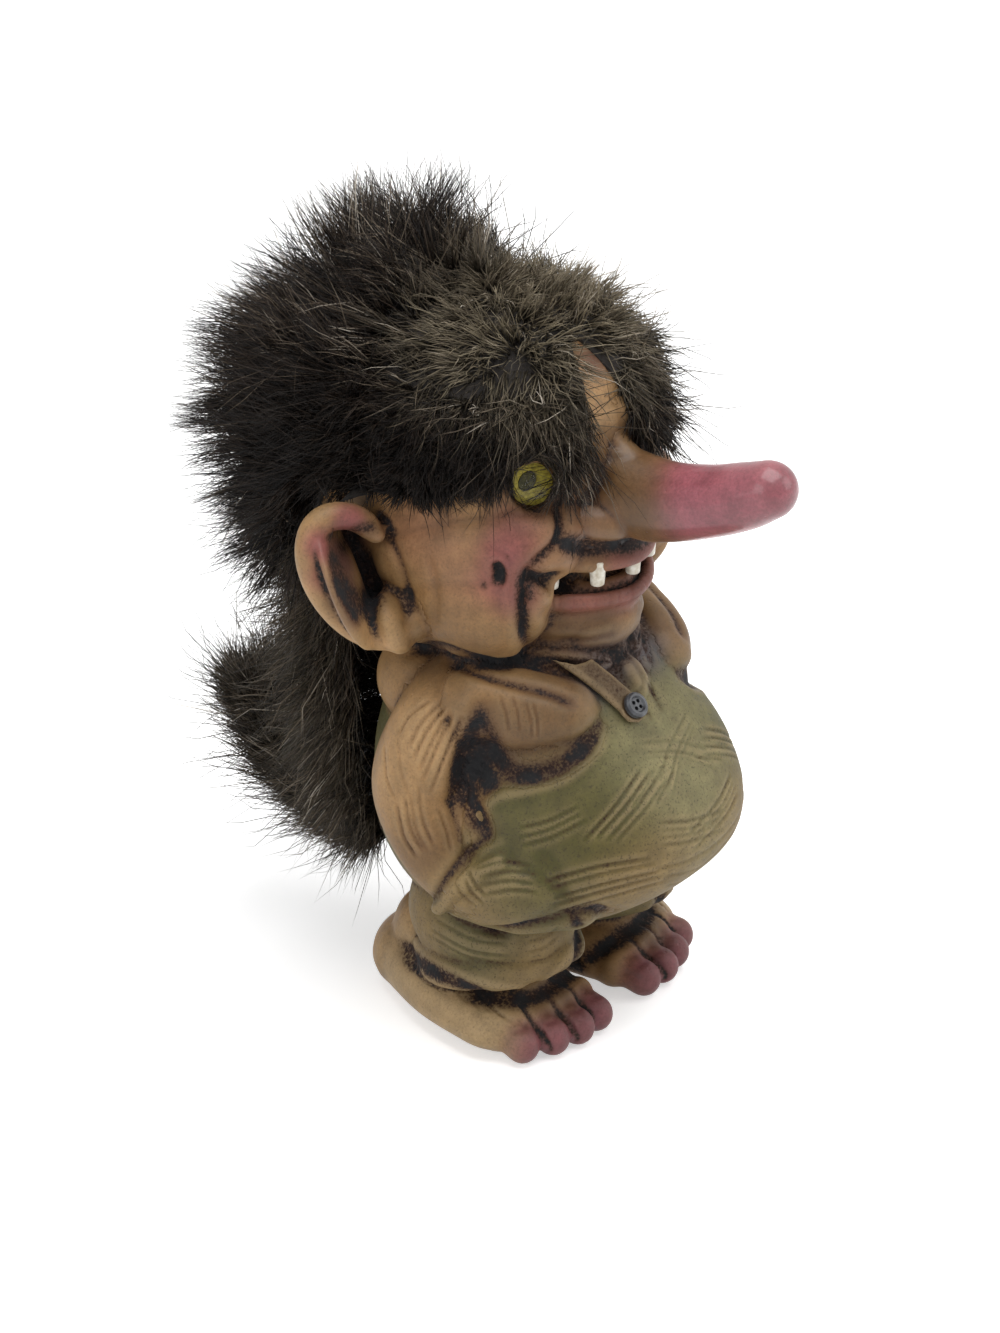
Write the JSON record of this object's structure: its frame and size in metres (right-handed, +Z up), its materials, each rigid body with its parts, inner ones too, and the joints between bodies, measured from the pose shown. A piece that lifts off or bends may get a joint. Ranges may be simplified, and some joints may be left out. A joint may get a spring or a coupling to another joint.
{
  "type": "troll figure",
  "caption": "Standing troll ornament in bib overalls, with a long nose, big ears, an open toothy mouth, glass eyes, a fur wig and mane, bare toed feet and a tufted tail.",
  "frame": {"origin": "on the surface that the figure stands on, under the middle of its box", "axes": "+Z up, the figure faces -Y, its left hand side is +X"},
  "size_m": [0.0838, 0.1136, 0.1376],
  "materials": {
    "painted_skin": "natural latex, hand painted, half matt",
    "painted_nose": "natural latex, dusty pink paint, glossy",
    "painted_overalls": "natural latex, olive wash over tan",
    "button": "natural latex, dark paint",
    "tooth_paint": "white paint",
    "eye_glass": "polished",
    "eye_iris": "amber enamel on the back of the glass",
    "eye_pupil": "black enamel on the back of the glass",
    "eye_wire": "plain wire",
    "foam_filling": "rigid foam",
    "fur_backing": "knitted backing of fur fabric",
    "fur": "long straight pile"
  },
  "bodies": {
    "root": {"foot_right": "painted_skin", "foot_left": "painted_skin", "torso_skin": "painted_skin", "arm_right": "painted_skin", "arm_left": "painted_skin", "overalls": "painted_overalls", "shoulder_strap": "painted_overalls", "strap_button": "button", "head_skin": "painted_skin", "jaw_skin": "painted_skin", "nose": "painted_nose", "teeth": "tooth_paint", "ear_right": "painted_skin", "ear_left": "painted_skin", "eye_glass_right": "eye_glass", "eye_glass_left": "eye_glass", "eye_iris_right": "eye_iris", "eye_iris_left": "eye_iris", "eye_pupil_right": "eye_pupil", "eye_pupil_left": "eye_pupil", "eye_shank_right": "eye_wire", "eye_shank_left": "eye_wire", "foam_core": "foam_filling", "wig_backing": "fur_backing", "hair_crown": "fur", "hair_fringe_right": "fur", "hair_fringe_left": "fur", "hair_back": "fur", "hair_mane": "fur", "tail_stem": "painted_skin", "tail_tuft": "fur"}
  },
  "joints": []
}
